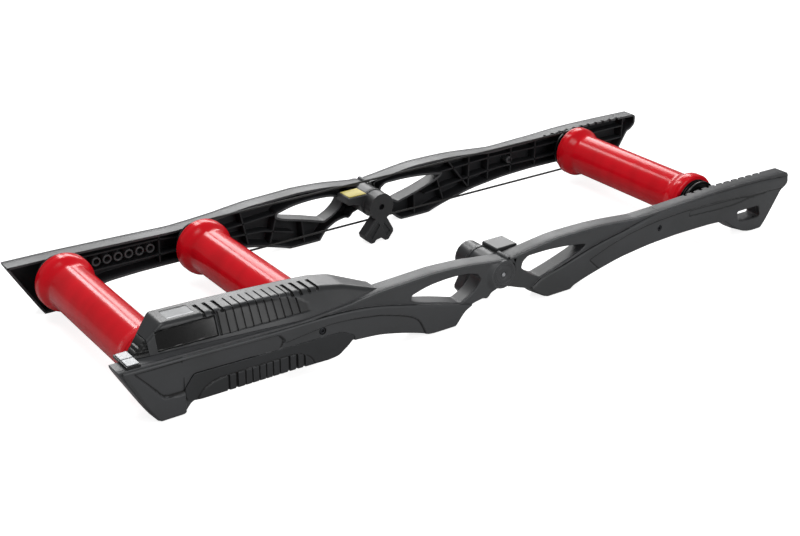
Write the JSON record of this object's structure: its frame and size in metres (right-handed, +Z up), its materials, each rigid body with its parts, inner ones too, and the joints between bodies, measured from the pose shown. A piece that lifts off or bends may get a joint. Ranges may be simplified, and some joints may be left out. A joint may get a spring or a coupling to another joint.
{
  "type": "bike rollers",
  "caption": "Folding bike rollers: flared drums between hinged side beams, with a drive belt, a sliding front axle and a hooded magnetic brake.",
  "frame": {"origin": "on the floor, in the middle plane, halfway between the two ends; the hinge hubs stand 7.98 mm behind it", "axes": "+X from the pair of rollers towards the single front roller, +Y to the left side (the belt side), +Z up"},
  "size_m": [1.4, 0.46, 0.139],
  "materials": {
    "beam_plastic": "satin charcoal moulding with a fine grain",
    "hood_plastic": "satin near-black moulding",
    "drum_red": "smooth glossy red",
    "black_plastic": "plain black moulding",
    "steel": "bright zinc-plated steel",
    "aluminium": "machined aluminium",
    "belt_rubber": "matt black round cord",
    "pale_plastic": "pale grey",
    "yellow_plastic": "muted yellow",
    "board_green": "green circuit board"
  },
  "bodies": {
    "rear_frame": {"rear_beam_left": "beam_plastic", "rear_beam_right": "beam_plastic", "resistance_lower_cover": "hood_plastic", "rear_axle": "steel", "middle_axle": "steel", "rear_axle_screw_left": "steel", "middle_axle_screw_left": "steel", "middle_axle_screw_right": "steel", "centre_support_left": "black_plastic", "centre_support_right": "black_plastic", "step_plate_left": "yellow_plastic", "hub_pin_left": "steel", "hub_pin_right": "steel", "hub_cap_left": "black_plastic", "hub_cap_right": "black_plastic", "fold_pin_left": "steel", "fold_pin_right": "steel", "drive_belt": "belt_rubber", "resistance_hood": "hood_plastic", "hood_rear_grille": "black_plastic", "hood_base_tray": "black_plastic", "contact_pad_outer": "pale_plastic", "contact_pad_inner": "pale_plastic", "magnet_guide": "black_plastic", "brake_motor": "steel", "control_board": "board_green"},
    "rear_roller": {"rear_drum": "drum_red", "rear_end_cap_left": "black_plastic", "rear_end_cap_right": "black_plastic", "rear_bearing_left": "steel", "rear_bearing_right": "steel", "brake_disc": "aluminium"},
    "middle_roller": {"middle_drum": "drum_red", "middle_end_cap_left": "black_plastic", "middle_end_cap_right": "black_plastic", "middle_bearing_left": "steel", "middle_bearing_right": "steel"},
    "front_frame": {"front_beam_left": "beam_plastic", "front_beam_right": "beam_plastic", "rack_screw_left": "steel", "rack_screw_right": "steel"},
    "front_carriage": {"front_axle": "steel", "front_axle_block_left": "black_plastic", "front_axle_block_right": "black_plastic"},
    "front_roller": {"front_drum": "drum_red", "front_end_cap_left": "black_plastic", "front_end_cap_right": "black_plastic", "front_bearing_left": "steel", "front_bearing_right": "steel"},
    "brake_carriage": {"magnet_carriage": "black_plastic", "magnet_1": "steel", "magnet_2": "steel"}
  },
  "joints": [
    {"name": "rear_roller_spin", "type": "hinge", "parent": "rear_frame", "child": "rear_roller", "pos_m": [-0.61798, 0, 0.067], "axis": [0, 1, 0], "continuous": true},
    {"name": "middle_roller_spin", "type": "hinge", "parent": "rear_frame", "child": "middle_roller", "pos_m": [-0.36298, 0, 0.067], "axis": [0, 1, 0], "continuous": true},
    {"name": "frame_fold", "type": "hinge", "parent": "rear_frame", "child": "front_frame", "pos_m": [0.00552, 0, 0.093], "axis": [0, -1, 0], "range_deg": [0, 165], "deforming": ["drive_belt"]},
    {"name": "front_axle_slide", "type": "slide", "parent": "front_frame", "child": "front_carriage", "axis": [1, 0, 0], "range_m": [-0.06, 0.14], "deforming": ["drive_belt"]},
    {"name": "front_roller_spin", "type": "hinge", "parent": "front_carriage", "child": "front_roller", "pos_m": [0.50202, 0, 0.067], "axis": [0, 1, 0], "continuous": true},
    {"name": "magnet_slide", "type": "slide", "parent": "rear_frame", "child": "brake_carriage", "axis": [0, 0, 1], "range_m": [0, 0.008]}
  ],
  "couplings": [
    {"joint": "front_roller_spin", "follows": "middle_roller_spin", "ratio": 1}
  ]
}
